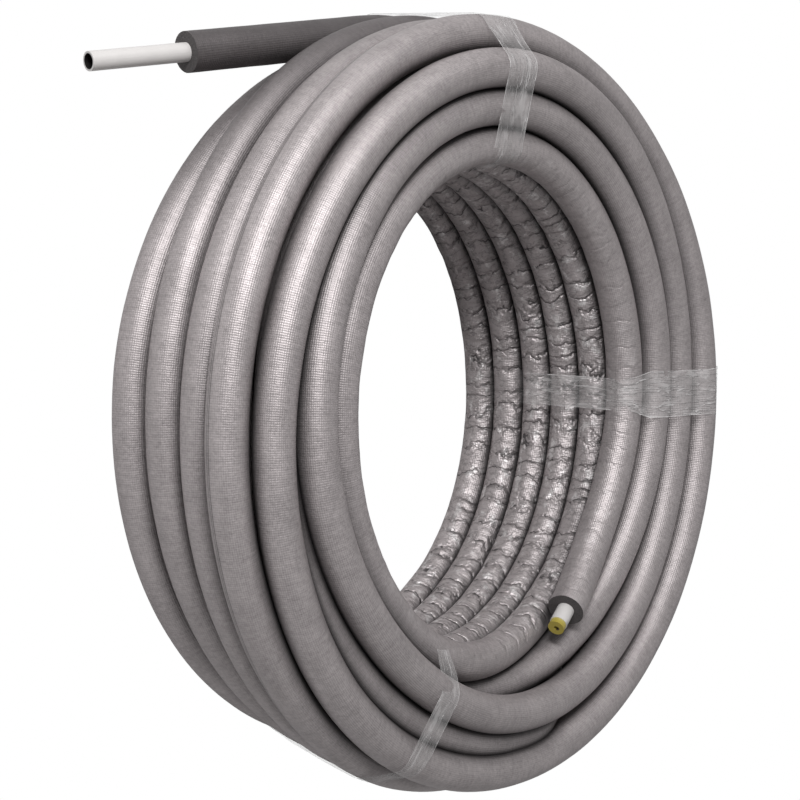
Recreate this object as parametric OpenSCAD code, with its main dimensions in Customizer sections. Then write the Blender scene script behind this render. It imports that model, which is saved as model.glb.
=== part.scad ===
// Coil of pre-insulated multilayer pipe, wound flat in layers, strapped with three clear tape bands.
// It lies on its rear end: the coil axis runs along Z, and the front end faces up.

/* [Pipe] */
// Outside diameter of the bare multilayer pipe
pipe_d = 16; // [15.8:0.1:16.2]
// Bore of the bare multilayer pipe
pipe_bore = 12; // [11.6:0.1:12.4]
// Wall of the foam sleeve round the pipe
foam_wall = 9; // [8.6:0.1:9.1]

/* [Inner layers] */
// Radius of the innermost layer, measured to the middle of the tube
inner_turn_r = 220; // [218:1:222]
// Step from one turn to the next in the innermost layer
turn_pitch = 35.2; // [34.8:0.1:35.4]
// Angle at which every turn starts, counted from +X towards +Y
start_angle = -60; // [-62:1:-58]
// Angle at which every turn ends and crosses over to the next one's start
cross_angle = 240; // [238:1:242]
// Full turns in the innermost layer, below the one that ends at the plug
inner_turns = 5; // [4:1:5]
// Height of the top full turn in the innermost layer
inner_top_z = 48; // [47:0.1:48.2]
// Step from the innermost layer out to the lowest turn in the second
second_low_step = 36; // [35:1:38]
// Height of the lowest turn in the second layer
second_low_z = -80; // [-84:1:-76]
// Step from there out to the lowest turn in the third layer
third_low_step = 38; // [37:1:39]
// Height of the lowest turn in the third layer
third_low_z = -57; // [-59:1:-56]
// Height of the face between the top turns, where the buried turns lie
core_top_z = 92; // [91.5:0.5:93]

/* [Innermost top turn] */
// Angle at which the turn bends up to the inner free end
end_bend_angle = -50; // [-51:1:-49]
// How far inside the innermost layer the turn lies where it bends up
end_turn_in = 6.5; // [5:0.5:7]
// Height of the turn where it bends up
end_turn_z = 84; // [83.5:0.5:85]
// Height of the turn over its last part, at the low tape
end_turn_low_z = 92; // [91:0.5:94]
// How far outside the innermost layer the turn lies at the top tape
end_turn_top_out = 2; // [1:0.1:2]
// Height of the turn at the top tape
end_turn_top_z = 83.4; // [83:0.1:84]
// How far outside the innermost layer the turn lies over its last part
end_turn_low_out = 4; // [3:0.5:5]
// Height at which the turn goes under the other turns
end_turn_buried_z = 62; // [58:1:66]

/* [Top turn of the second layer] */
// Step from the innermost layer out to the turn
second_step = 36.5; // [36:0.1:37]
// Height where the turn comes up from the buried turns
second_buried_z = 62; // [58:1:66]
// Height of the turn at its start
second_start_z = 80; // [79:0.5:82]
// Height of the turn at the top tape
second_top_z = 90; // [89.5:0.1:91]
// Height of the turn at its end, where it bulges over the inner turns
second_end_z = 106; // [105:0.5:108]

/* [Top turn of the third layer] */
// Step from the second layer out to the turn
third_step = 33.5; // [33:0.1:34]
// How much farther out the turn ends, where it climbs to the outermost layer
third_end_out = 18; // [17:0.5:19]
// Height of the turn at its start
third_start_z = 95; // [94:0.5:97]
// Height of the turn at the top tape
third_top_z = 98; // [97.5:0.1:99]
// Height of the turn at its end
third_end_z = 94; // [93:0.5:95]

/* [Outermost layer] */
// Step from the third layer out to its turns
outer_step = 28.2; // [27.6:0.1:28.6]
// How much farther out each of its turns starts
outer_start_out = 6.8; // [6.3:0.1:7.8]
// Height at which its first turn starts
outer_start_z = 97; // [96:0.5:98]
// Drop of each turn from its start to the top tape
outer_drop = 21; // [20:0.5:21.5]
// Drop of each turn from its start to its end
outer_turn_drop = 38; // [37:0.5:38.5]
// Drop from one turn to the next
outer_pitch = 37; // [36:0.5:37.5]
// Full turns in this layer before the one that leaves the coil
outer_turns = 3; // [2:1:3]

/* [Free ends] */
// Angle at which the outer end leaves the coil, counted from +X towards +Y
leave_angle = 97; // [95:1:100]
// How far outside the outermost turns the outer end leaves
leave_out = 3.8; // [1.8:0.1:4.8]
// Bend radius of the outer end as it droops from the coil
tail_bend_r = 950; // [900:10:1000]
// Angle that the outer end bends through before its sleeve stops
tail_bend = 12; // [11:0.5:13]
// Length of the core that joins the outer end to its last turn
tail_root_len = 24; // [16:1:30]
// Bare pipe showing past the sleeve at the outer end
bare_outer_len = 92; // [80:1:110]
// Angle at which the inner end stops, counted from +X towards +Y
inner_end_angle = -64; // [-66:1:-62]
// How far inside the innermost layer the sleeve stops at the inner end
inner_end_in = 3; // [1:0.5:4]
// Height of the middle of the sleeve where the inner end stops
inner_end_z = 94; // [92:0.5:95]
// Bare pipe showing past the sleeve at the inner end
bare_inner_len = 20; // [16:1:26]
// Length of pipe held inside the sleeve at each end
held_len = 20; // [18:1:26]

/* [Plug] */
// Outside diameter of the plug head
plug_head_d = 15; // [14:0.1:15.6]
// Thickness of the plug head
plug_head_t = 6; // [4:0.5:8]
// Length of the plug shank inside the pipe
plug_shank_len = 14; // [10:1:16]
// Diameter of the small dimple in the plug head
dimple_d = 4; // [3:0.1:5]
// Depth of the dimple in the plug head
dimple_deep = 3; // [2:0.5:3.5]

/* [Tape] */
// Width of the tape bands
tape_w = 48; // [40:1:52]
// Thickness of the tape bands
tape_t = 0.6; // [0.5:0.1:0.8]
// Depth that the tape presses into the crests of the turns
tape_press = 1; // [0.9:0.1:1.4]
// Angle of the top band
tape_top_angle = 89; // [88:1:89]
// Angle of the side band
tape_side_angle = -2; // [-4:1:0]
// Angle of the lower band
tape_low_angle = -114; // [-115:1:-113]

/* [Fits] */
// Clearance between the pipe and its sleeve, on the radius
sleeve_fit = 0.15; // [0.1:0.01:0.2]
// Clearance between the plug shank and the pipe bore, on the radius
plug_fit = 0.1; // [0.05:0.01:0.15]
// Clearance between the tape and the bed that it presses into the crests
tape_fit = 0.3; // [0.25:0.01:0.4]

/* [Hidden] */
$fn = 96;

full_turn = 360;
tube_d = pipe_d + 2 * foam_wall;
second_low_r = inner_turn_r + second_low_step;
third_low_r = second_low_r + third_low_step;
end_turn_r = inner_turn_r - end_turn_in;
end_turn_top_r = inner_turn_r + end_turn_top_out;
end_turn_low_r = inner_turn_r + end_turn_low_out;
inner_end_r = inner_turn_r - inner_end_in;
second_r = inner_turn_r + second_step;
third_r = second_r + third_step;
third_end_r = third_r + third_end_out;
outer_r = third_r + outer_step;
outer_start_r = outer_r + outer_start_out;
leave_r = outer_r + leave_out;
// Radius of the core under the outermost layer
core_r = outer_r - tube_d / 4;
sleeve_hole_d = pipe_d + 2 * sleeve_fit;
// Angle of the top tape in the plan of turns, where each turn has its middle station
top_angle = 90;
next_start = start_angle + full_turn;
low_turn_z = inner_top_z - (inner_turns - 1) * turn_pitch;
leave_z = outer_start_z - outer_turns * outer_pitch - outer_drop;
last_angle = (outer_turns + 2) * full_turn;

// Stations of the innermost top turn, each as angle, radius and height
end_turn = [
    [inner_end_angle, inner_end_r, inner_end_z],
    [end_bend_angle, end_turn_r, end_turn_z],
    [top_angle, end_turn_top_r, end_turn_top_z],
    [cross_angle, end_turn_low_r, end_turn_low_z],
    [next_start, end_turn_low_r, end_turn_buried_z]
];

// Stations of the long run from the second layer out to the outer free end
long_run = concat(
    [
        [cross_angle - full_turn, second_r, second_buried_z],
        [start_angle, second_r, second_start_z],
        [top_angle, second_r, second_top_z],
        [cross_angle, second_r, second_end_z],
        [next_start, third_r, third_start_z],
        [top_angle + full_turn, third_r, third_top_z],
        [cross_angle + full_turn, third_end_r, third_end_z]
    ],
    [for (k = [0 : outer_turns - 1])
        let (z = outer_start_z - k * outer_pitch, turned = (k + 1) * full_turn)
        each [
            [next_start + turned, outer_start_r, z],
            [top_angle + full_turn + turned, outer_r, z - outer_drop],
            [cross_angle + full_turn + turned, outer_r, z - outer_turn_drop]
        ]
    ],
    [
        [next_start + last_angle - full_turn, outer_start_r, outer_start_z - outer_turns * outer_pitch],
        [leave_angle + last_angle, leave_r, leave_z]
    ]
);

held_outer_angle = held_len / tail_bend_r * 180 / PI;
held_inner_angle = held_len / inner_turn_r * 180 / PI;
// How far the arcs of a run stop short of a station, and how much thicker the ball over it is
station_gap = 1;
station_swell = 0.6;
// How much thinner the joining cores are than the tube round them
root_step = 1.4;
// How much wall the held stretch of a pipe loses at each surface, and how far the two lengths lap
join_step = 0.04;
join_lap = 1;
// Steps round each corner of a tape band
corner_steps = 6;
// Room past the coil for the blocks that trim the tape to its width
far = 2 * (outer_start_r + tube_d);
// Distance from the middle of a crest turn to the inside of the tape
tape_r = tube_d / 2 - tape_press;
tape_angles = [tape_top_angle, tape_side_angle, tape_low_angle];

// The place of a station in space
function place(s) = [s[1] * cos(s[0]), s[1] * sin(s[0]), s[2]];
function chord(a, b) = place(b) - place(a);
function level_heading(v) = atan2(v[1], v[0]);
function climb(v) = asin(v[2] / norm(v));
// Radius of the arc from station a to station b
function arc_r(a, b) = norm(chord(a, b)) / (2 * sin((b[0] - a[0]) / 2));
// Radius and height of that arc where it passes an angle
function on_arc(a, b, angle) =
    let (c = chord(a, b), r = arc_r(a, b), half = (b[0] - a[0]) / 2, past = angle - (a[0] + b[0]) / 2)
    let (out = r * (cos(past) - cos(half)), h = level_heading(c))
    let (p = (place(a) + place(b)) / 2 + c / norm(c) * r * sin(past) + out * [sin(h), -cos(h), 0])
    [norm([p[0], p[1]]), p[2]];
// Middles of a run's turns where they pass an angle
function passes(run, angle) = [
    for (i = [0 : len(run) - 2])
        for (k = [-1 : outer_turns + 2])
            if (angle + full_turn * k >= run[i][0] && angle + full_turn * k < run[i + 1][0])
                on_arc(run[i], run[i + 1], angle + full_turn * k)
];
// Direction from one point to another, in degrees
function heading(a, b) = atan2(b[1] - a[1], b[0] - a[0]);
// Bend at a corner between two headings, from 0 up to a full turn
function bend(h0, h1) = h1 < h0 ? h1 - h0 + full_turn : h1 - h0;
function before(p, k) = p[(k + len(p) - 1) % len(p)];
function after(p, k) = p[(k + 1) % len(p)];
// The points of p where its outline turns left
function left_turns(p) = [
    for (k = [0 : len(p) - 1])
        if (cross(p[k] - before(p, k), after(p, k) - p[k]) > 0) p[k]
];
// The points that a taut band round all of p rests on
function taut(p) = len(left_turns(p)) == len(p) ? p : taut(left_turns(p));
// Corner points of a band that passes round circles of radius r at the points p
function wrap(p, r) = [
    for (k = [0 : len(p) - 1])
        let (h0 = heading(before(p, k), p[k]), h1 = heading(p[k], after(p, k)))
        for (s = [0 : corner_steps])
            let (h = h0 + bend(h0, h1) * s / corner_steps)
            p[k] + r * [sin(h), -cos(h)]
];

// Middles of the turns that a tape rests on at an angle, once round the section of the winding
function reversed(p) = [for (k = [len(p) - 1 : -1 : 0]) p[k]];
function crests(angle) = taut(concat(
    [
        [inner_turn_r, low_turn_z],
        [second_low_r, second_low_z],
        [third_low_r, third_low_z]
    ],
    reversed(passes(long_run, angle)),
    passes(end_turn, angle)
));

// A stretch of a turn, from one angle through a sweep
module swept(from, sweep) {
    rotate([0, 0, from])
        rotate_extrude(angle = sweep)
            children();
}

module turn_section(p, d) {
    translate(p)
        circle(d = d);
}

// The buried turns as one plain core, with the turns that show at its bore and its lower end
module inner_layers_section() {
    for (k = [0 : inner_turns - 1])
        turn_section([inner_turn_r, inner_top_z - k * turn_pitch], tube_d);
    turn_section([second_low_r, second_low_z], tube_d);
    turn_section([third_low_r, third_low_z], tube_d);
    polygon([
        [inner_turn_r, low_turn_z],
        [second_low_r, second_low_z],
        [third_low_r, third_low_z],
        [core_r, leave_z],
        [core_r, core_top_z],
        [inner_turn_r, core_top_z]
    ]);
}

// Puts its children so that an arc round the origin, half on each side of +X, runs from a to b
module arc_frame(a, b) {
    translate((place(a) + place(b)) / 2)
        rotate([0, 0, level_heading(chord(a, b)) - 90])
            rotate([climb(chord(a, b)), 0, 0])
                translate([-arc_r(a, b) * cos((b[0] - a[0]) / 2), 0, 0])
                    children();
}

// The first part of the arc from a to b, with its children as its section
module arc_start(a, b, sweep, past = 0) {
    arc_frame(a, b)
        rotate([0, 0, (a[0] - b[0]) / 2 - past])
            rotate_extrude(angle = sweep + past)
                translate([arc_r(a, b), 0])
                    children();
}

// A run of tube through its stations: arcs that stop just short of each, and a ball over each gap
module tube_run(run) {
    for (i = [0 : len(run) - 2]) {
        short = station_gap / arc_r(run[i], run[i + 1]) * 180 / PI;
        arc_start(run[i], run[i + 1], run[i + 1][0] - run[i][0] - short, i > 0 ? -short : 0)
            circle(d = tube_d);
    }
    for (i = [1 : len(run) - 1])
        translate(place(run[i]))
            rotate([90, 0, run[i][0]])
                sphere(d = tube_d + station_swell);
}

// Puts its children where the outer end leaves the coil, with the bend centre at the origin
module tail_frame() {
    rotate([0, 0, leave_angle - 90])
        translate([0, leave_r, leave_z - tail_bend_r])
            rotate([90, 0, 0])
                children();
}

// A bent stretch of the outer end, counted back from where the sleeve stops, or a little past it
module tail_arc(sweep, past = 0) {
    tail_frame()
        rotate([0, 0, 90 + tail_bend - sweep])
            rotate_extrude(angle = sweep + past)
                translate([tail_bend_r, 0])
                    children();
}

// A slightly thinner length inside the join of the last turn and the outer end
module tail_core() {
    tail_frame()
        translate([0, tail_bend_r, 0])
            rotate([0, 90, 0])
                cylinder(d = tube_d - root_step, h = tail_root_len, center = true);
}

// Puts its children at the end of the outer sleeve, with +Z along the bare pipe
module outer_tip_frame() {
    tail_frame()
        rotate([0, 0, 90 + tail_bend])
            translate([tail_bend_r, 0, 0])
                rotate([-90, 0, 0])
                    children();
}

// Puts its children at the end of the inner sleeve, with +Z along the bare pipe
module inner_tip_frame() {
    arc_frame(end_turn[0], end_turn[1])
        rotate([0, 0, (end_turn[0][0] - end_turn[1][0]) / 2])
            translate([arc_r(end_turn[0], end_turn[1]), 0, 0])
                rotate([90, 0, 0])
                    children();
}

// The held stretch of a pipe, a hair thinner in the wall than the bare one it joins
module held_section() {
    difference() {
        circle(d = pipe_d - 2 * join_step);
        circle(d = pipe_bore + 2 * join_step);
    }
}

module bare_tube(length) {
    linear_extrude(length)
        difference() {
            circle(d = pipe_d);
            circle(d = pipe_bore);
        }
}

module insulation() {
    color([0.45, 0.43, 0.43])
        difference() {
            union() {
                swept(0, full_turn)
                    inner_layers_section();
                tube_run(end_turn);
                tube_run(long_run);
                tail_arc(tail_bend)
                    circle(d = tube_d);
                tail_core();
            }
            tail_arc(held_outer_angle)
                circle(d = sleeve_hole_d);
            arc_start(end_turn[0], end_turn[1], held_inner_angle)
                circle(d = sleeve_hole_d);
            for (angle = tape_angles)
                band_space(angle, tape_r - tape_fit, tube_d, tape_w + 2 * tape_fit);
        }
}

module pipe_outer_end() {
    color([0.93, 0.93, 0.92]) {
        tail_arc(held_outer_angle, join_lap / tail_bend_r * 180 / PI)
            held_section();
        outer_tip_frame()
            bare_tube(bare_outer_len);
    }
}

module pipe_inner_end() {
    lap_angle = join_lap / inner_turn_r * 180 / PI;
    color([0.93, 0.93, 0.92]) {
        arc_start(end_turn[0], end_turn[1], held_inner_angle, lap_angle)
            held_section();
        inner_tip_frame()
            bare_tube(bare_inner_len);
    }
}

module end_plug() {
    color([0.78, 0.72, 0.25])
        inner_tip_frame()
            translate([0, 0, bare_inner_len])
                difference() {
                    union() {
                        cylinder(d = plug_head_d, h = plug_head_t);
                        translate([0, 0, -plug_shank_len])
                            cylinder(d = pipe_bore - 2 * plug_fit, h = plug_shank_len + 1);
                    }
                    translate([0, 0, plug_head_t - dimple_deep])
                        cylinder(d = dimple_d, h = dimple_deep + 1);
                }
}

// Room between two outlines round the whole winding, for a given width at one angle
module band_space(angle, r_in, r_out, width) {
    half_sweep = asin(width / inner_turn_r);
    intersection() {
        swept(angle - half_sweep, 2 * half_sweep)
            difference() {
                polygon(wrap(crests(angle), r_out));
                polygon(wrap(crests(angle), r_in));
            }
        rotate([0, 0, angle])
            translate([0, -width / 2, -far / 2])
                cube([far, width, far]);
    }
}

module tape_band(angle) {
    color([0.86, 0.87, 0.86, 0.5])
        band_space(angle, tape_r, tape_r + tape_t, tape_w);
}

module tape_top() {
    tape_band(tape_top_angle);
}

module tape_side() {
    tape_band(tape_side_angle);
}

module tape_low() {
    tape_band(tape_low_angle);
}

insulation();
pipe_outer_end();
pipe_inner_end();
end_plug();
tape_top();
tape_side();
tape_low();
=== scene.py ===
# %% [markdown]
# # A coil of sleeved pipe
# The real object is one long plastic pipe in a soft grey sleeve. It is wound into a ring of four
# layers, three bands of clear tape hold it, and both ends of the pipe are left free.
# Its exact solids come with the frame. This lesson lays a finer sleeve and finer tape over them and
# gives the bare pipe and the plug their finish. The ring lies on its back end, so the pipe winds
# round the Z axis and the front end faces up. Lengths are in metres. Only the winding plan and the
# shape of the outer end are in millimetres and degrees.

# %% Frame
import math
import bpy
import numpy as np
from mathutils import Matrix, Vector


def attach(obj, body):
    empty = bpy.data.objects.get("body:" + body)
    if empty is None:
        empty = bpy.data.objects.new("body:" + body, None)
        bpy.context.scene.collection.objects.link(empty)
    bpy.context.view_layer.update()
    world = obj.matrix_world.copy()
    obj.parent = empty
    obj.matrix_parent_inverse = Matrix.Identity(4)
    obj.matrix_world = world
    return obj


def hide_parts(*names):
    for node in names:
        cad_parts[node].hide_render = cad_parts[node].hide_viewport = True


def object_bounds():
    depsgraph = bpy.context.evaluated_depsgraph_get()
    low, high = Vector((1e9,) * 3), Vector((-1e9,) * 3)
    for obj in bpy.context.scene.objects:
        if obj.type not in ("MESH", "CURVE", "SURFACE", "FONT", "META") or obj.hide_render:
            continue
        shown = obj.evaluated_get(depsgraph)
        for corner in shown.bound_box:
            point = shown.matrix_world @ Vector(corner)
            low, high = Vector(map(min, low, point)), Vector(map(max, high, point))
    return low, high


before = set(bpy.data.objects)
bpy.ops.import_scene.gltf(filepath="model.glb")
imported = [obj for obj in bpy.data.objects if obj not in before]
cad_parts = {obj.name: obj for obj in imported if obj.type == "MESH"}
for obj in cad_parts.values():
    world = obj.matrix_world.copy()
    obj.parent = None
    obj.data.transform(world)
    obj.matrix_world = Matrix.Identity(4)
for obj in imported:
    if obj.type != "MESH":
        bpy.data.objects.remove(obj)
cad_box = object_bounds()
print("frame nodes:", sorted(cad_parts))
print("frame box:", [round(v, 3) for corner in cad_box for v in corner])

# %% [markdown]
# ## The viewpoint
# The coil is looked at from the front and a little from the left, as if it stood on its rim. A
# constraint could aim the camera, but it would keep the Z axis up in the picture, and here the
# Y axis has to point up. So the camera's matrix is put together from its own three directions.

# %% Camera
SENSOR_WIDTH_MM = 36


def look_from(place, aim, lens):
    """Adds a camera at place that looks at aim, with +Y up in its picture."""
    back = (Vector(place) - Vector(aim)).normalized()
    right = Vector((0, 1, 0)).cross(back).normalized()
    turn = Matrix((right, back.cross(right), back)).transposed().to_4x4()
    data = bpy.data.cameras.new("camera")
    data.lens, data.sensor_width = lens, SENSOR_WIDTH_MM
    camera = bpy.data.objects.new("camera", data)
    camera.matrix_world = Matrix.Translation(place) @ turn
    bpy.context.scene.collection.objects.link(camera)
    bpy.context.scene.camera = camera
    return camera


camera = look_from((-1.48706, 0.17719, 1.1788), (-0.01884, -0.00111, -0.00751), 95.98)
print("camera at", [round(v, 3) for v in camera.location])

# %% [markdown]
# ## How the pipe is wound
# On the real coil no turn is a closed ring. Each one keeps its place for most of the way round and
# then steps over to the next place, low down on the ring. A plain helix could be wound in one line
# of code, but it would climb evenly and never cross over its neighbours.
# So each row of the plan is one full turn, with its radius and its height at five stations: lower
# right, right, top, left and lower left. The crossing lies between the last station of one turn
# and the first of the next. Turns that no one sees keep one radius and one height.

# %% Winding plan
TUBE_RADIUS = 0.017
STATIONS = (-60, 0, 90, 180, 240)


def bore_turn(height):
    """A turn of the innermost layer. The layer fans out a little on its left side."""
    left = 1.05 * height + 3
    return (224, 219, 220, 221, 225), (height + 11, height - 4, height, left, left)


def plain_turn(radius, height):
    """A turn buried in the ring."""
    return (radius,) * 5, (height,) * 5


plan = [
    ((214, 214, 223, 220, 225), (90, 78, 82, 91, 91)),
    *(bore_turn(height) for height in (47, 14, -19, -54, -89)),
    plain_turn(254, -83), plain_turn(254, -48),
    ((289, 290, 297, 304, 298), (-46, -47, -39, -51, -48)),
    plain_turn(284, -12), plain_turn(285, 20), plain_turn(252, -13), plain_turn(252, 20),
    ((290, 288, 284, 272, 284), (56, 55, 56, 74, 88)),
    ((258, 254, 250, 252, 258), (45, 50, 54, 57, 60)),
    ((255, 251, 256, 256, 256), (78, 86, 90, 101, 107)),
    ((288, 287, 288, 291, 312), (95, 88, 98, 89, 92)),
    ((328, 325, 317, 320, 324), (97, 93, 75, 67, 60)),
    ((324, 320, 315, 311, 316), (54, 49, 36, 32, 25)),
    ((322, 322, 320, 308, 306), (18, 13, -1, -9, -14)),
]
BURIED = {6, 7, 9, 10, 11, 12, 14}
print("turns:", len(plan), "of which buried:", len(BURIED))

# %% [markdown]
# ## Both ends of the winding
# The inner end starts just before the first station, on the front of the ring. The outer end leaves
# the outermost turn at the top. One turn on the front comes down slowly and closes the gap between
# its neighbours. They could be turns of their own, but a few more stations in the same list keep
# one smooth line. Each is an angle, a radius and a height. The plan's first station gives way to
# the inner end.

# %% Stations
STARTS_AT, LEAVES_AT = -64, 97
OUTER_RADIUS, OUTER_HEIGHT = 322, -35
LINGERING_TURN = 13 * 360
last = 360 * len(plan)
inner_end = [(-71, 218.7, 98.9), (STARTS_AT, 217, 94), (-50, 213.5, 84)]
outer_end = [(last - 60, 322, -20), (last, 323, -24), (last + 60, OUTER_RADIUS, OUTER_HEIGHT + 1),
             (last + LEAVES_AT, OUTER_RADIUS, OUTER_HEIGHT)]
lingering = [(LINGERING_TURN + 255, 289, 89), (LINGERING_TURN + 270, 297, 88),
             (LINGERING_TURN + 282, 301, 84)]
stations = [(360 * k + at, r, h) for k, (radii, heights) in enumerate(plan)
            for at, r, h in zip(STATIONS, radii, heights)]
every_station = sorted(inner_end + stations[1:] + lingering + outer_end)
angle, radius, height = (np.array(column, float) for column in zip(*every_station))
print("stations:", len(angle))

# %% [markdown]
# ## The line down the middle of the pipe
# A stiff pipe bends evenly, so its middle runs smoothly through the stations. Blender's own curves
# could join them too, but later steps have to know where any turn lies at any angle, and a formula
# answers that at once. Where the pipe shows, the line's points lie close together.

# %% Centre line
SHOWN_STEP, BURIED_STEP = 1.8, 6.0
TURN_STARTS, TURN_ENDS = -60, 300


def smooth(x, xs, ys):
    """A curve through the points xs, ys that keeps its slope across each of them."""
    steps, rises = np.diff(xs), np.diff(ys)
    before, after = steps[:-1], steps[1:]
    slopes = np.zeros(len(xs))
    slopes[1:-1] = (rises[:-1] / before * after + rises[1:] / after * before) / (before + after)
    i = np.clip(np.searchsorted(xs, x, side="right") - 1, 0, len(xs) - 2)
    t, h = (x - xs[i]) / steps[i], steps[i]
    return (ys[i] * (1 + 2 * t) * (1 - t) ** 2 + ys[i + 1] * t * t * (3 - 2 * t)
            + h * slopes[i] * t * (1 - t) ** 2 - h * slopes[i + 1] * t * t * (1 - t))


def winding(turned):
    """Middle of the pipe after it has turned through these angles."""
    r, z = smooth(turned, angle, radius) / 1000, smooth(turned, angle, height) / 1000
    around = np.radians(turned)
    return np.stack([r * np.cos(around), r * np.sin(around), z], axis=1)


def fine_angles():
    """Angles along the winding, close together where the turn shows and wide where it is buried."""
    found = []
    for k in range(len(plan) + 1):
        start = 360 * k + TURN_STARTS if k else STARTS_AT
        end = last + LEAVES_AT if k == len(plan) else 360 * k + TURN_ENDS
        found.append(np.arange(start, end, BURIED_STEP if k in BURIED else SHOWN_STEP))
    return np.concatenate(found + [[last + LEAVES_AT]])


turned = fine_angles()
wound_line = winding(turned)
print("points on the winding:", len(wound_line))

# %% [markdown]
# ## The outer end
# The outer end comes off the ring at the top, nearly straight, and droops a little towards the back
# under its own weight. A simulation could find that bend, but a stiff pipe this short takes the
# shape of a gentle arc, so the arc is written down. It is the arc that the bare pipe's solid starts
# from, so the sleeve meets the pipe.

# %% Outer end
TAIL_BEND_RADIUS, TAIL_BEND, TAIL_POINTS = 950, 12, 29


def tail_point(drooped):
    """A point on the outer end after it has bent through this angle, and the way it heads."""
    lean, droop = math.radians(LEAVES_AT - 90), math.radians(drooped)
    r, h, bend = OUTER_RADIUS / 1000, OUTER_HEIGHT / 1000, TAIL_BEND_RADIUS / 1000
    along, drop = -bend * math.sin(droop), bend * (1 - math.cos(droop))
    place = Vector((along * math.cos(lean) - r * math.sin(lean),
                    along * math.sin(lean) + r * math.cos(lean), h - drop))
    heading = Vector((-math.cos(droop) * math.cos(lean), -math.cos(droop) * math.sin(lean),
                      -math.sin(droop)))
    return place, heading


tail = np.array([tail_point(t)[0] for t in np.linspace(0, TAIL_BEND, TAIL_POINTS + 1)[1:]])
line = np.concatenate([wound_line, tail])
marks = np.concatenate([[0], np.cumsum(np.linalg.norm(np.diff(line, axis=0), axis=1))])
wound_marks = marks[:len(turned)]
print("points in all:", len(line), "sleeve length:", round(float(marks[-1]), 2), "m")

# %% [markdown]
# ## Two small helpers for node graphs
# Shapes and finishes are both graphs of nodes, and placing each node by hand would bury the idea in
# clicks. A `Value` wraps a socket, so that it can be added and multiplied like a number. A `Graph`
# adds any node, and sets its settings before its sockets, because a setting can change which
# sockets there are.

# %% Graph helpers
class Value:
    def __init__(self, graph, socket):
        self.graph, self.socket = graph, socket

    def __add__(self, other): return self.graph.math("ADD", self, other)
    def __radd__(self, other): return self.graph.math("ADD", other, self)
    def __sub__(self, other): return self.graph.math("SUBTRACT", self, other)
    def __rsub__(self, other): return self.graph.math("SUBTRACT", other, self)
    def __mul__(self, other): return self.graph.math("MULTIPLY", self, other)
    def __rmul__(self, other): return self.graph.math("MULTIPLY", other, self)
    def __truediv__(self, other): return self.graph.math("DIVIDE", self, other)
    def __rtruediv__(self, other): return self.graph.math("DIVIDE", other, self)
    def __abs__(self): return self.graph.math("ABSOLUTE", self)


class Graph:
    def __init__(self, tree):
        self.tree = tree

    def add(self, kind, settings=None, inputs=None, out=0):
        """Adds a node of any kind and returns the output called out, or the node if it has none."""
        node = self.tree.nodes.new(kind)
        for name, setting in (settings or {}).items():
            setattr(node, name, setting)
        for key, value in (inputs or {}).items():
            if isinstance(value, Value):
                self.tree.links.new(value.socket, node.inputs[key])
            else:
                node.inputs[key].default_value = value
        return Value(self, node.outputs[out]) if len(node.outputs) else node

    def math(self, operation, *values):
        return self.add("ShaderNodeMath", {"operation": operation}, dict(enumerate(values)))

    def vector(self, operation, *values):
        return self.add("ShaderNodeVectorMath", {"operation": operation}, dict(enumerate(values)))

    def measure(self, operation, *values):
        """Vector maths that gives a number, such as LENGTH or DOT_PRODUCT."""
        return self.add("ShaderNodeVectorMath", {"operation": operation}, dict(enumerate(values)),
                        out="Value")

    def scaled(self, vector, factor):
        return self.add("ShaderNodeVectorMath", {"operation": "SCALE"},
                        {"Vector": vector, "Scale": factor})

    def xyz(self, x, y, z):
        return self.add("ShaderNodeCombineXYZ", None, {0: x, 1: y, 2: z})

    def noise(self, vector, scale, detail=2.0, rough=0.5):
        return self.add("ShaderNodeTexNoise", None,
                        {"Vector": vector, "Scale": scale, "Detail": detail, "Roughness": rough})

    def step(self, value, low, high, to_low=0.0, to_high=1.0):
        """Goes smoothly from to_low to to_high as value goes from low to high."""
        return self.add("ShaderNodeMapRange", {"interpolation_type": "SMOOTHSTEP"},
                        {"Value": value, "From Min": low, "From Max": high,
                         "To Min": to_low, "To Max": to_high})

    def mix(self, factor, a, b):
        return self.add("ShaderNodeMix", {"data_type": "RGBA"}, {0: factor, 6: a, 7: b}, out=2)


print("a Graph can add:", [name for name in vars(Graph) if not name.startswith("_")])

# %% [markdown]
# ## The sleeve's shape
# The real sleeve is a soft foam tube, so its skin is never quite even, and it puckers where it is
# squeezed on the inner side of each turn. A curve with a bevel would sweep the tube too, but it
# keeps no note of where each point of the skin lies, and the finish needs that.
# So a group of geometry nodes sweeps a circle along the line. It stores how far along the pipe each
# point is, and how far it faces out from the axis and up. Soft noise then eases the skin in and
# out, and finer noise puckers it on the inner side of the bore's turns.

# %% Sleeve group
SLEEVE_INPUTS = (("Radius", "NodeSocketFloat", TUBE_RADIUS), ("Sides", "NodeSocketInt", 28),
                 ("Softness", "NodeSocketFloat", 0.0004), ("Pucker", "NodeSocketFloat", 0.0009))
PUCKER_FULL, PUCKER_GONE = 0.232, 0.245
SOFT_WAVES, PUCKER_WAVES = 18, 62
FLAT = (1, 1, 0)


def store(g, geometry, name, value, kind="FLOAT"):
    return g.add("GeometryNodeStoreNamedAttribute", {"data_type": kind, "domain": "POINT"},
                 {"Geometry": geometry, "Name": name, "Value": value})


def stored(g, name, kind="FLOAT"):
    return g.add("GeometryNodeInputNamedAttribute", {"data_type": kind}, {"Name": name})


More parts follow.
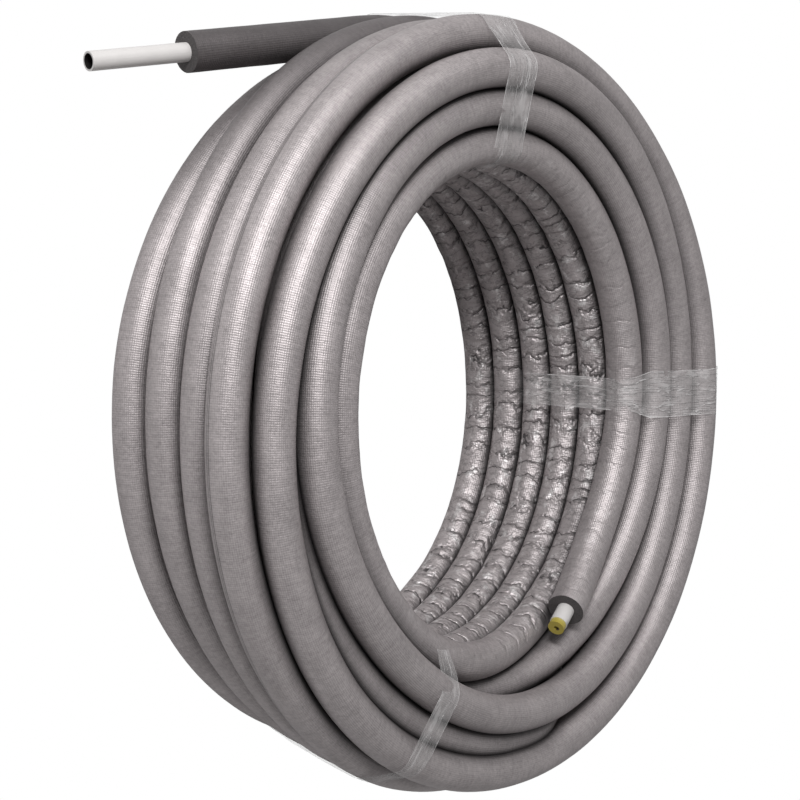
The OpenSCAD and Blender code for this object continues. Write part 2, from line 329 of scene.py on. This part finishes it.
def sleeve_group():
    """Sweeps a tube along a line of edges, and stores where each point of its skin lies."""
    tree = bpy.data.node_groups.new("sleeve", "GeometryNodeTree")
    face = tree.interface
    face.new_socket("Line", in_out="INPUT", socket_type="NodeSocketGeometry")
    for name, kind, value in SLEEVE_INPUTS:
        face.new_socket(name, in_out="INPUT", socket_type=kind).default_value = value
    face.new_socket("Material", in_out="INPUT", socket_type="NodeSocketMaterial")
    face.new_socket("Skin", in_out="OUTPUT", socket_type="NodeSocketGeometry")
    g = Graph(tree)
    given = {s.name: Value(g, s) for s in tree.nodes.new("NodeGroupInput").outputs if s.name}

    # The tube, swept along the line.
    curve = g.add("GeometryNodeMeshToCurve", None, {"Mesh": given["Line"]})
    curve = store(g, curve, "along", g.add("GeometryNodeSplineParameter", out="Length"))
    curve = store(g, curve, "middle", g.add("GeometryNodeInputPosition"), "FLOAT_VECTOR")
    ring = g.add("GeometryNodeCurvePrimitiveCircle", {"mode": "RADIUS"},
                 {"Resolution": given["Sides"], "Radius": given["Radius"]})
    skin = g.add("GeometryNodeCurveToMesh", None,
                 {"Curve": curve, "Profile Curve": ring, "Fill Caps": True})

    # Where each point of the skin faces.
    middle = stored(g, "middle", "FLOAT_VECTOR")
    off = g.vector("NORMALIZE", g.vector("SUBTRACT", g.add("GeometryNodeInputPosition"), middle))
    outward = g.vector("NORMALIZE", g.vector("MULTIPLY", middle, FLAT))
    skin = store(g, skin, "face", g.measure("DOT_PRODUCT", off, outward))
    skin = store(g, skin, "rise", g.add("ShaderNodeSeparateXYZ", None, {0: off}, out="Z"))
    skin = store(g, skin, "off", off, "FLOAT_VECTOR")

    # Soft waves everywhere, and puckers on the inner side of the turns that line the bore.
    off = stored(g, "off", "FLOAT_VECTOR")
    along, out_face, rise = stored(g, "along"), stored(g, "face"), stored(g, "rise")
    waves = g.noise(g.xyz(rise, out_face, along * SOFT_WAVES), 1.0, 2.0)
    ease = (waves - 0.5) * 2 * given["Softness"]
    wrinkles = g.noise(g.xyz(rise * 0.8, out_face, along * PUCKER_WAVES), 1.0, 1.0)
    reach = g.measure("LENGTH", g.vector("MULTIPLY", middle, FLAT))
    pucker = ((wrinkles - 0.5) * given["Pucker"] * 2 * g.step(out_face, -0.2, -0.9)
              * g.step(reach, PUCKER_GONE, PUCKER_FULL))
    skin = g.add("GeometryNodeSetPosition", None,
                 {"Geometry": skin, "Offset": g.scaled(off, ease + pucker)})

    skin = g.add("GeometryNodeSetShadeSmooth", None, {"Geometry": skin, "Shade Smooth": True})
    skin = g.add("GeometryNodeRealizeInstances", None, {"Geometry": skin})
    skin = g.add("GeometryNodeSetMaterial", None, {"Geometry": skin, "Material": given["Material"]})
    g.add("NodeGroupOutput", None, {0: skin})
    return tree


sleeve_nodes = sleeve_group()
print("sleeve group:", len(sleeve_nodes.nodes), "nodes")

# %% [markdown]
# ## From a group to a plain mesh
# A group only works while its modifier is there. Applying the modifier by an operator would need
# the right object to be active, so the finished shape is read from the evaluated object instead and
# becomes a new, plain object. Its place is in its mesh, and the object stays at the origin.

# %% Growing a piece
def add_object(name, mesh):
    obj = bpy.data.objects.new(name, mesh)
    bpy.context.scene.collection.objects.link(obj)
    return obj


def line_object(name, points):
    """An object of bare edges through the points."""
    mesh = bpy.data.meshes.new(name)
    mesh.from_pydata([tuple(p) for p in points], [(i, i + 1) for i in range(len(points) - 1)], [])
    return add_object(name, mesh)


def grown(name, start, group, **inputs):
    """Runs a geometry group on an object, and returns its result as a plain mesh object."""
    modifier = start.modifiers.new("grow", "NODES")
    modifier.node_group = group
    sockets = {s.name: s.identifier for s in group.interface.items_tree if s.in_out == "INPUT"}
    for key, value in inputs.items():
        modifier[sockets[key]] = value
    start.update_tag()
    depsgraph = bpy.context.evaluated_depsgraph_get()
    mesh = bpy.data.meshes.new_from_object(start.evaluated_get(depsgraph), depsgraph=depsgraph)
    mesh.name = name
    bpy.data.objects.remove(start)
    print(name, "has", sum(len(p.vertices) - 2 for p in mesh.polygons), "triangles")
    return add_object(name, mesh)


guide = line_object("line", line)
print("guide line:", len(guide.data.vertices), "points")

# %% [markdown]
# ## Helpers for finishes
# Every finish here ends in one Principled surface, which the export can bake. What changes over a
# surface comes from noise and from values stored on the mesh. An image would stretch along the pipe
# and repeat, and noise does neither.

# %% Material helpers
def new_material(name):
    material = bpy.data.materials.new(name)
    material.use_nodes = True
    material.node_tree.nodes.clear()
    return material, Graph(material.node_tree)


def attribute(g, name):
    return g.add("ShaderNodeAttribute", {"attribute_name": name}, out="Fac")


def surface(g, **inputs):
    """Ends a material in one Principled surface."""
    names = {key.replace("_", " "): value for key, value in inputs.items()}
    shader = g.add("ShaderNodeBsdfPrincipled", None, names)
    g.add("ShaderNodeOutputMaterial", None, {"Surface": shader})


def bump(g, height, distance, strength=1.0, under=None):
    inputs = {"Height": height, "Distance": distance, "Strength": strength}
    if under is not None:
        inputs["Normal"] = under
    return g.add("ShaderNodeBump", None, inputs)


def node_count(material):
    return f"{material.name}: {len(material.node_tree.nodes)} nodes"


print("finish helpers:", [f.__name__ for f in (new_material, attribute, surface, bump, node_count)])

# %% [markdown]
# ## The sleeve's film
# The foam wears a thin grey film with a satin sheen. Its fine woven lattice is crossed by stray
# threads, and a seam with two edges runs along one side of an outer turn. On the turns of the bore
# the film is squeezed: it folds across the pipe, with painted shade in its creases, cracks open in
# dark lines, gets painted light on its inner side and painted glints in pale flecks. The valleys
# between the turns get painted shade.
# All of it could be modelled, but the relief is finer than a millimetre, so colour and bump carry
# it. The patterns read the distance along the pipe and the way the skin faces, so they follow every
# turn and keep their size. The cracks come from a zigzag beat along the pipe, because noise alone
# gives round blots and not lines.

# %% Sleeve material
WEAVE_PITCH, THREADS_ROUND = 0.0036, 30
CRACK_SPACING = 0.021
SEAM_SIDE, SEAM_HALF_GAP, SEAM_DRIFT = 1.3, 0.07, 1.02
SEAM_TURN = 17 * 360 + 140
VALLEY, VALLEY_CORE = 0.016, 0.006
FILM_DARK, FILM_PALE = (0.19, 0.173, 0.174, 1), (0.5, 0.457, 0.46, 1)
# The pale fleck colour is a painted glint, the crease and deep colours are painted shade, and the
# shade colour is the painted shadow under the outer end.
FLECK_GLINT, FOLD_AND_VALLEY_SHADE, CRACK = (0.86, 0.83, 0.83, 1), (0.05, 0.046, 0.047, 1), (0.03, 0.027, 0.028, 1)
DEEP_SHADE, SHADE, SEAM = (0.01, 0.009, 0.009, 1), (0.06, 0.054, 0.055, 1), (0.04, 0.036, 0.037, 1)


def sleeve_material(seam_at):
    material, g = new_material("woven film")
    along, out_face, rise = attribute(g, "along"), attribute(g, "face"), attribute(g, "rise")
    near, bore, shadow = attribute(g, "near"), attribute(g, "bore"), attribute(g, "shadow")

    def skin_noise(round_scale, long_scale, detail, rough=0.5, zoom=1.0):
        """Noise on the skin, with one scale round the sleeve and another along it."""
        place = g.xyz(rise * round_scale, out_face * round_scale, along * long_scale)
        return g.noise(place, zoom, detail, rough)

    # The lattice: two sets of slanting waves that cross.
    round_it = g.math("ARCTAN2", rise, out_face)
    u, v = along * (2 * math.pi / WEAVE_PITCH), round_it * THREADS_ROUND
    wobble = (skin_noise(1.0, 60, 2.0, zoom=3.0) - 0.5) * 1.6
    weave = g.math("SINE", u + v + wobble) * g.math("SINE", u - v + wobble)

    # Folds, cracks, creases and flecks, on the inner side of the bore's turns only. The creases
    # carry painted shade and the flecks painted glints.
    inward = g.step(out_face, 0.35, -0.5) * bore
    folds = skin_noise(0.9, 95, 3.0, 0.6)
    sway = g.noise(g.xyz(0.0, 0.0, along * 17), 1.0, 1.0) * 4
    jag = skin_noise(1.3, 70, 2.0, 0.6) * 1.1
    beat = g.math("PINGPONG", along / CRACK_SPACING + sway + jag, 0.5)
    broken = g.step(skin_noise(1.2, 60, 1.0), 0.42, 0.54)
    crack = g.step(beat, 0.015, 0.06, 1.0, 0.0) * broken * inward
    bends = g.step(beat, 0.0, 0.2)
    crease_shade = g.step(abs(folds - 0.5), 0.0, 0.035, 1.0, 0.0) * inward
    glint_flecks = g.step(skin_noise(1.8, 90, 3.0, 0.6), 0.54, 0.7) * inward

    # Grain, stray threads and soft clouds, everywhere. The inner side of the bore's turns gets
    # painted light.
    grain, thread = skin_noise(8, 420, 3.0, 0.6), skin_noise(1.2, 330, 2.0, 0.6)
    cloud = skin_noise(1.0, 22, 3.0, 0.55, zoom=1.3)
    tone_and_bore_light = (0.68 + (cloud - 0.5) * 0.6 + weave * 0.13 + (grain - 0.5) * 0.9
             + (thread - 0.5) * 0.55 + inward * 0.35)

    # The seam swings round to the outside where it shows.
    drift = g.step(abs(along - seam_at), 1.3, 0.3) * SEAM_DRIFT
    seam = abs(abs(round_it + SEAM_SIDE - drift) - SEAM_HALF_GAP)

    colour = g.mix(tone_and_bore_light, FILM_DARK, FILM_PALE)
    # Painted glints on the flecks, painted shade in the creases and in the valleys between the
    # turns, and the painted shadow under the outer end.
    for mask, layer in ((glint_flecks * 0.75, FLECK_GLINT), (crease_shade * 0.35, FOLD_AND_VALLEY_SHADE), (crack * 0.8, CRACK),
                        (g.step(near, VALLEY, 0.002) * 0.48, FOLD_AND_VALLEY_SHADE),
                        (g.step(near, VALLEY_CORE, 0.0) * 0.85, DEEP_SHADE),
                        (shadow * 0.8, SHADE), (g.step(seam, 0.045, 0.015) * 0.6, SEAM)):
        colour = g.mix(mask, colour, layer)
    normal = bump(g, weave * 0.35 + grain * 0.9 + thread * 0.45, 0.00025)
    normal = bump(g, (folds * 0.7 + bends * 0.3) * inward, 0.006, 0.8, normal)
    surface(g, Base_Color=colour, Roughness=0.5 + (grain - 0.5) * 0.2, Metallic=0.6, Normal=normal,
            Specular_IOR_Level=0.4)
    return material


film = sleeve_material(float(np.interp(SEAM_TURN, turned, wound_marks)))
print(node_count(film))

# %% [markdown]
# ## The cut foam
# Where the sleeve is cut, its dark foam shows with open pores. A ring of its own could stand in for
# it, but the swept tube is already closed by a flat face at each end, so those two faces only need
# a dark, porous finish.

# %% Foam material
def foam_material():
    material, g = new_material("cut foam")
    pores = g.noise(g.add("ShaderNodeTexCoord", out="Object"), 700.0, 3.0)
    colour = g.mix(pores, (0.03, 0.028, 0.028, 1), (0.11, 0.1, 0.1, 1))
    surface(g, Base_Color=colour, Roughness=0.85, Normal=bump(g, pores, 0.0008))
    return material


foam = foam_material()
print(node_count(foam))

# %% [markdown]
# ## How crowded the turns are
# The valleys between the turns get painted shade, because light hardly gets in there. A
# shader could look for nearby surfaces, but that is slow and grainy. The line of the winding is
# known, so the gap from each point of the skin to the turns beside it is worked out here and
# stored. The depth in the bore and the painted shadow under the outer end are stored in the same
# way.

# %% Crowding
FARTHEST_GAP = 0.03
BORE_REACH, BORE_FADE = 0.243, 0.01
BORE_LIP, LIP_FADE, LIP_LEAST = 0.082, 0.02, 0.18
TAIL_SHADE_REACH, SHADE_TOP, SHADE_FADE = 0.14, 0.05, 0.04


def flat_distance(points):
    """How far points are from the Z axis."""
    return np.hypot(points[:, 0], points[:, 1])


def gap_to_turns(spots, own, wound):
    """How far each point is from the nearest other turn, where own is its angle on the winding."""
    r, z, near = flat_distance(spots), spots[:, 2], np.full(len(spots), FARTHEST_GAP)
    for k in range(-len(plan) - 1, len(plan) + 2):
        other = own + 360 * k
        there = wound & (other >= angle[0]) & (other <= angle[-1])
        if k and there.any():
            middle = winding(other[there])
            gap = np.hypot(r[there] - flat_distance(middle), z[there] - middle[:, 2]) - TUBE_RADIUS
            near[there] = np.clip(gap, 0, near[there])
    return near


def measure_crowding(mesh):
    """Stores how near the next turn is, how deep in the bore a point is, and the tail's shade."""
    spots, along = np.empty(len(mesh.vertices) * 3), np.empty(len(mesh.vertices))
    mesh.vertices.foreach_get("co", spots)
    mesh.attributes["along"].data.foreach_get("value", along)
    spots = spots.reshape(-1, 3)
    own, wound = np.interp(along, wound_marks, turned), along <= wound_marks[-1]
    near, middle = gap_to_turns(spots, own, wound), winding(own)
    bore = (np.clip((BORE_REACH - flat_distance(middle)) / BORE_FADE, 0, 1)
            * np.clip((BORE_LIP - middle[:, 2]) / LIP_FADE, LIP_LEAST, 1))
    to_tail = np.min([np.linalg.norm(spots - p, axis=1) for p in tail], axis=0) - TUBE_RADIUS
    shadow = (np.clip(1 - to_tail / TAIL_SHADE_REACH, 0, 1)
              * np.clip((SHADE_TOP - spots[:, 2]) / SHADE_FADE, 0, 1))
    for name, values in (("near", near), ("bore", bore * wound), ("shadow", shadow)):
        mesh.attributes.new(name, "FLOAT", "POINT").data.foreach_set("value", values)
    print("nearest turn:", round(float(near.min()) * 1000, 2), "mm away")


print("valleys are measured up to", FARTHEST_GAP, "m away")

# %% [markdown]
# ## Putting the sleeve in place
# The guide line grows into the sleeve, and the crowding is stored on it. Only the flat faces at its
# two ends have more than four corners, so that is how the cut foam finds its place. The plain solid
# of the sleeve could be hidden by hand, but one line to the frame does it: the sleeve rides
# on the coil's only body and stands for its solid.

# %% Sleeve
CAP_CORNERS = 5
sleeve = grown("sleeve", guide, sleeve_nodes, Material=film)
measure_crowding(sleeve.data)
sleeve.data.materials.append(foam)
caps = [face for face in sleeve.data.polygons if len(face.vertices) >= CAP_CORNERS]
for face in caps:
    face.material_index = 1
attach(sleeve, "root")
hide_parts("insulation")
print("cut ends of foam:", len(caps))

# %% [markdown]
# ## The bare pipe
# The real pipe is smooth pale plastic with a thin metal layer inside its wall that shows as a grey
# line in the cut. Its solids already have the right shape, so they stay and only get a finish. The
# bore is long and narrow, so hardly any light comes back out of it, and the finish is dark there.
# It is all measured from the pipe's own axis. A texture laid on from the side would smear along the
# wall, while rings round the axis stay round.

# %% Pipe material
METAL_LAYER, LAYER_HALF = 0.0072, 0.0003
BORE_EDGE, BORE_DARK = 0.0068, 0.0062


def middle_of(node):
    """Middle of a node's box."""
    spots = [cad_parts[node].matrix_world @ Vector(c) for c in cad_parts[node].bound_box]
    return sum(spots, Vector()) / 8


def on_axis(g, start, heading):
    """For a point: how far it is along an axis, and how far from it."""
    spot = g.vector("SUBTRACT", g.add("ShaderNodeTexCoord", out="Object"), tuple(start))
    far = g.measure("DOT_PRODUCT", spot, tuple(heading))
    return far, g.measure("LENGTH", g.vector("SUBTRACT", spot, g.scaled(tuple(heading), far)))


def pipe_material(name, start, heading):
    material, g = new_material(name)
    cloud = g.noise(g.add("ShaderNodeTexCoord", out="Object"), 90.0, 3.0)
    off = on_axis(g, start, heading)[1]
    colour = g.mix(cloud, (0.56, 0.54, 0.53, 1), (0.62, 0.6, 0.59, 1))
    layer = g.step(abs(off - METAL_LAYER), 0.0, LAYER_HALF, 1.0, 0.0)
    colour = g.mix(layer * 0.6, colour, (0.25, 0.25, 0.26, 1))
    colour = g.mix(g.step(off, BORE_EDGE, BORE_DARK), colour, (0.012, 0.011, 0.011, 1))
    surface(g, Base_Color=colour, Roughness=0.34 + (cloud - 0.5) * 0.1)
    return material


def dress(node, material):
    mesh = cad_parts[node].data
    mesh.materials.clear()
    mesh.materials.append(material)
    print(node, "wears", node_count(material))


plug_middle, inner_middle = middle_of("end_plug"), middle_of("pipe_inner_end")
inward_heading = (plug_middle - inner_middle).normalized()
dress("pipe_outer_end", pipe_material("outer pipe", *tail_point(TAIL_BEND)))
dress("pipe_inner_end", pipe_material("inner pipe", inner_middle, inward_heading))

# %% [markdown]
# ## The end plug
# The plug is a small yellow-green cap, paler towards the pipe, with a dark dimple in its face. Its
# solid has the dimple already. The dark middle is part of the finish, because the hole is too small
# for its own shade to show.

# %% Plug material
DIMPLE_EDGE, DIMPLE_DARK = 0.0026, 0.0016


def plug_material(start, heading):
    material, g = new_material("plug")
    far, off = on_axis(g, start, heading)
    cloud = g.noise(g.add("ShaderNodeTexCoord", out="Object"), 160.0, 3.0)
    front = g.step(far + (cloud - 0.5) * 0.004, -0.004, 0.007)
    dimple = g.step(off, DIMPLE_EDGE, DIMPLE_DARK) * g.step(far, 0.003, 0.005)
    colour = g.mix(front, (0.7, 0.64, 0.3, 1), (0.36, 0.29, 0.05, 1))
    colour = g.mix(dimple, colour, (0.05, 0.035, 0.02, 1))
    surface(g, Base_Color=colour, Roughness=0.35)
    return material


dress("end_plug", plug_material(plug_middle, inward_heading))
print("plug faces", [round(v, 2) for v in inward_heading])

# %% [markdown]
# ## Where the tape goes
# A band of tape is pulled tight, so it touches only the crests of the turns and spans the valleys
# between them. A strip pressed on with a Shrinkwrap modifier would sink into every valley. The
# path of a taut loop round many circles is their convex hull, and that is found exactly from
# points on the circles.

# %% Taut loop
def turns_at(place):
    """Radius and height of every turn of the winding where it passes an angle."""
    passes = place + 360 * np.arange(-1, len(plan) + 2)
    points = winding(np.array([a for a in passes if angle[0] < a < angle[-1]], float))
    return np.stack([flat_distance(points), points[:, 2]], axis=1)


def half_hull(points):
    """The points that a string over one side of them would touch."""
    kept = []
    for p in points:
        while len(kept) > 1:
            (ax, ay), (bx, by) = kept[-1] - kept[-2], p - kept[-1]
            if ax * by - ay * bx > 0:
                break
            kept.pop()
        kept.append(p)
    return kept


def taut_loop(middles, r, count):
    """Evenly spaced points on the taut loop round circles of radius r, and the loop's length."""
    around = np.radians(np.arange(0, 360, 2))
    rim = (middles[:, None] + r * np.stack([np.cos(around), np.sin(around)], axis=1)).reshape(-1, 2)
    rim = rim[np.lexsort((rim[:, 1], rim[:, 0]))]
    hull = np.array(half_hull(rim)[:-1] + half_hull(rim[::-1])[:-1])
    ends = np.concatenate([hull, hull[:1]])
    far = np.concatenate([[0], np.cumsum(np.linalg.norm(np.diff(ends, axis=0), axis=1))])
    want = np.linspace(0, far[-1], count, endpoint=False)
    return np.stack([np.interp(want, far, ends[:, k]) for k in (0, 1)], axis=1), far[-1]


print("turns under the top band:", len(turns_at(90)))

# %% [markdown]
# ## The bands' shape
# Each band is 48 mm of clear tape, stuck round the ring by hand. Two of them are gathered to a
# narrower strip where they pass through the bore, and their edges wander a little. A plain swept
# strip would be even all round, so the strip is built row by row, each with its own width.
# Low in the bore the top band clings to the turns and can't be made out, so a value stored on the
# mesh tells the finish to fade there.

# %% Bands
TAPE_WIDTH, TAPE_RISE = 0.048, 0.0004
LOOPS, ACROSS, KNOT_EVERY = 220, 16, 11
EDGE_WANDER = 0.0006
BEND, SHOULDER = 0.004, 0.03
BORE_SIDE, CLING_FADE = 0.02, 0.01


def band(name, place, material, seed, widths, lean, hidden_under):
    """One band of tape round the ring at an angle. It is bunched to widths in the bore, on the ends
    and outside, towards one edge where lean is 1 or -1. Below hidden_under it clings unseen."""
    dice = np.random.default_rng(seed)
    loop, around = taut_loop(turns_at(place), TUBE_RADIUS + TAPE_RISE, LOOPS)
    turn = math.radians(place)
    out = Vector((math.cos(turn), math.sin(turn), 0))
    level = Vector((-math.sin(turn), math.cos(turn), 0))
    knots = dice.normal(0, EDGE_WANDER, LOOPS // KNOT_EVERY + 1)
    edge = np.interp(np.arange(LOOPS), np.linspace(0, LOOPS, len(knots)), knots)
    low, high = loop[:, 0].min(), loop[:, 0].max()
    wide_at = np.interp(loop[:, 0], [low + BEND, low + SHOULDER, high - SHOULDER, high - BEND],
                        [widths[0], widths[1], widths[1], widths[2]])
    clear_of = np.clip((loop[:, 1] - hidden_under) / CLING_FADE, 0, 1)
    seen = np.where(loop[:, 0] < low + BORE_SIDE, clear_of, 1.0)
    points, stored_values = [], []
    for i, (r, z) in enumerate(loop):
        for s in np.linspace(-0.5, 0.5, ACROSS + 1):
            aside = float(s * wide_at[i] + edge[i] + lean * (TAPE_WIDTH - wide_at[i]) / 2)
            points.append(out * float(r) + level * aside + Vector((0, 0, float(z))))
            stored_values.append((i / LOOPS * around, s * TAPE_WIDTH, seen[i]))
    wide = ACROSS + 1
    rows = [(i * wide, (i + 1) % LOOPS * wide) for i in range(LOOPS)]
    faces = [(a + j, a + j + 1, b + j + 1, b + j) for a, b in rows for j in range(ACROSS)]
    mesh = bpy.data.meshes.new(name)
    mesh.from_pydata(points, [], faces)
    for key, values in zip(("run", "side", "seen"), zip(*stored_values)):
        mesh.attributes.new(key, "FLOAT", "POINT").data.foreach_set("value", values)
    mesh.polygons.foreach_set("use_smooth", [True] * len(faces))
    mesh.materials.append(material)
    print(name, "goes", round(float(around), 3), "m round the ring")
    return add_object(name, mesh)


print("each band has", LOOPS * ACROSS, "faces")

# %% [markdown]
# ## The tape's finish
# Clear tape is seen only by its haze, its streaks and milky patches, and the line of its two edges.
# A glass shader would bend the light twice in so thin a film, for nothing. So the tape is a pale
# surface whose alpha carries the haze, the streaks, the patches and the edges.

# %% Tape material
TAPE_EDGE, TAPE_RIM = 0.0222, 0.0236


def tape_material():
    material, g = new_material("clear tape")
    run, side, seen = attribute(g, "run"), attribute(g, "side"), attribute(g, "seen")
    haze = g.noise(g.xyz(run * 60, side * 60, 0.0), 1.0, 4.0, 0.6)
    lengthwise = g.noise(g.xyz(run * 14, side * 170, 2.0), 1.0, 2.0)
    streak = g.step(abs(lengthwise - 0.5), 0.0, 0.035, 1.0, 0.0)
    milky = g.step(g.noise(g.xyz(run * 30, side * 70, 7.0), 1.0, 3.0, 0.6), 0.52, 0.66)
    edge = g.step(abs(side), TAPE_EDGE, TAPE_RIM)
    veil = 0.18 + (haze - 0.5) * 0.3 + streak * 0.3 + edge * 0.22 + milky * 0.2
    surface(g, Base_Color=(0.86, 0.84, 0.84, 1), Roughness=0.2, Alpha=veil * (0.12 + seen * 0.88),
            Normal=bump(g, haze + streak, 0.0015))
    return material


clear = tape_material()
print(node_count(clear))

# %% [markdown]
# ## Three bands on the ring
# The bands sit at the top, the right and low at the left. Each row gives the angle, the widths in
# the bore, on the ends and outside, which edge it is gathered to, and the height under which it
# clings unseen in the bore.

# %% Tape
FIRST_SEED = 11
BANDS = (("tape_top", 90, (0.042, 0.04, 0.046), 1, -1.0),
         ("tape_side", -2, (0.03, 0.044, 0.048), 0, -0.03),
         ("tape_low", -114, (0.015, 0.025, 0.018), -1, -1.0))
for number, (node, place, widths, lean, hidden_under) in enumerate(BANDS):
    name = node.replace("tape", "band")
    piece = band(name, place, clear, FIRST_SEED + number, widths, lean, hidden_under)
    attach(piece, "root")
    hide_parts(node)

# %% [markdown]
# ## Floor and light
# The floor and the sky are plain white to the camera and dimmer to everything else, so that the
# white background doesn't flood the coil with light. A large soft lamp stands up and to the left of
# the picture, a weak one stands straight above, and the sky fills the rest.

# %% Studio
FLOOR_GAP, FLOOR_SIDE = 0.001, 6.0
WHITE = (1, 1, 1, 1)


def white_floor(level):
    mesh = bpy.data.meshes.new("floor")
    s = FLOOR_SIDE / 2
    mesh.from_pydata([(-s, -s, level), (s, -s, level), (s, s, level), (-s, s, level)], [],
                     [(0, 1, 2, 3)])
    floor = add_object("floor", mesh)
    material, g = new_material("floor")
    glow = g.add("ShaderNodeEmission", None, {"Color": WHITE, "Strength": 1.0})
    plain = g.add("ShaderNodeBsdfDiffuse", None, {"Color": (0.6, 0.6, 0.6, 1)})
    seen = g.add("ShaderNodeLightPath", out="Is Camera Ray")
    either = g.add("ShaderNodeMixShader", None, {0: seen, 1: plain, 2: glow})
    g.add("ShaderNodeOutputMaterial", None, {"Surface": either})
    mesh.materials.append(material)
    print("floor at", round(level, 4))


def lamp(name, place, size, power):
    """A soft round lamp that faces the middle of the ring."""
    data = bpy.data.lights.new(name, "AREA")
    data.shape, data.size, data.energy = "DISK", size, power
    obj = add_object(name, data)
    obj.location = place
    obj.rotation_mode = "QUATERNION"
    obj.rotation_quaternion = (-Vector(place)).to_track_quat("-Z", "Y")
    print("lamp", name, "of", power, "W")


def sky(strength):
    world = bpy.data.worlds.new("sky")
    world.use_nodes = True
    world.node_tree.nodes.clear()
    g = Graph(world.node_tree)
    seen = g.add("ShaderNodeLightPath", out="Is Camera Ray")
    shine = g.add("ShaderNodeBackground", None,
                  {"Color": WHITE, "Strength": strength + seen * (1 - strength)})
    g.add("ShaderNodeOutputWorld", None, {"Surface": shine})
    bpy.context.scene.world = world
    print("sky of", strength)


white_floor(cad_box[0].z - FLOOR_GAP)
lamp("key", (-1.7, 1.75, 1.65), 1.0, 71)
lamp("top", (-0.1, 1.9, 1.3), 1.0, 6)
sky(0.38)
bpy.context.scene.view_settings.view_transform = "Standard"

# %% [markdown]
# ## The bounds
# The finished coil must stay inside the box of its solids, give or take what soft foam allows.
